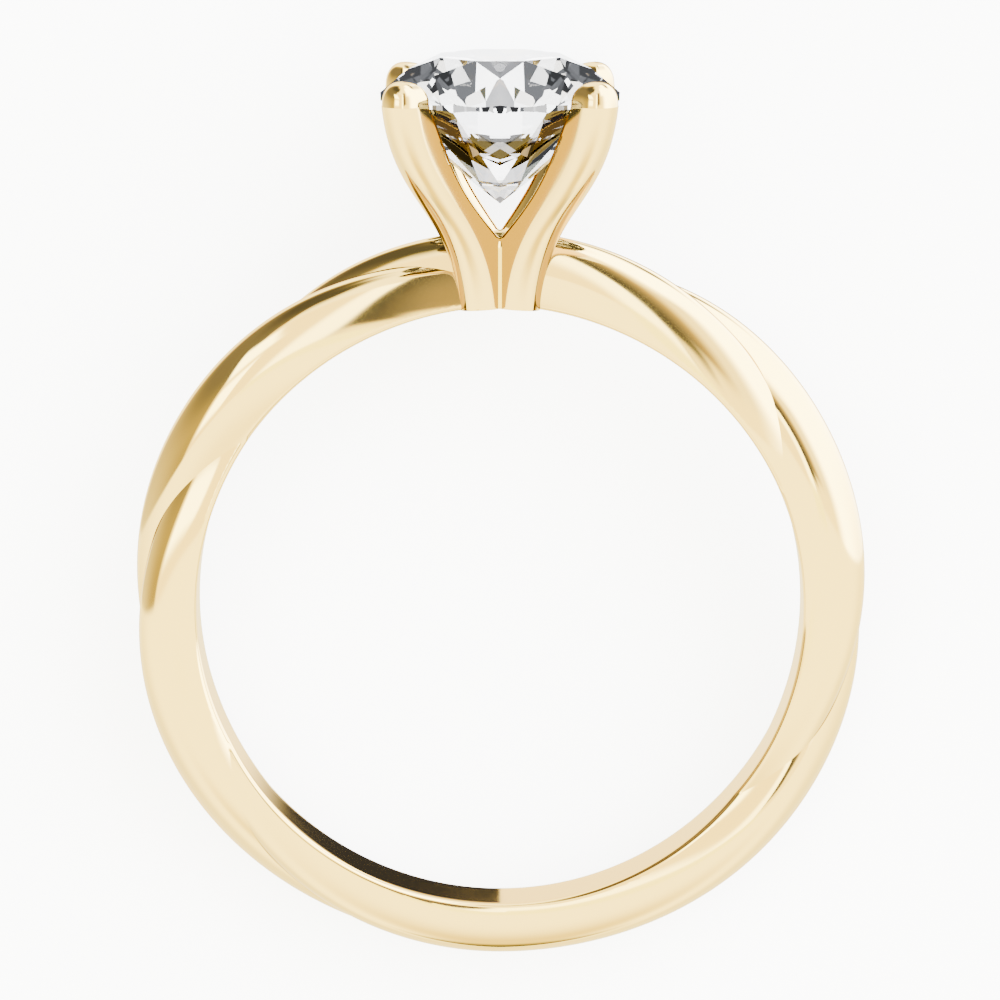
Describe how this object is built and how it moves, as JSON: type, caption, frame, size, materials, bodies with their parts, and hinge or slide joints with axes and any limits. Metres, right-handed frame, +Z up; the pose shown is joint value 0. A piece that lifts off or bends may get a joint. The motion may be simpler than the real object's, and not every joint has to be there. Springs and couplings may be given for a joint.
{
  "type": "solitaire ring",
  "caption": "Finger ring lying on its side: a shank of two twisted strands, a four-prong head soldered to its top and a round brilliant stone.",
  "frame": {"origin": "middle of the part's box, on the table that the ring lies on", "axes": "+Y towards the stone, +X across the ring, +Z up, so the finger hole's axis leans about 5.5 degrees from +Z because the head is wider than the shank"},
  "size_m": [0.0198, 0.0248, 0.0064],
  "materials": {
    "gold": "mirror polished yellow gold",
    "stone": "polished facets"
  },
  "bodies": {
    "root": {"shank_and_setting": "gold", "stone": "stone"}
  },
  "joints": []
}
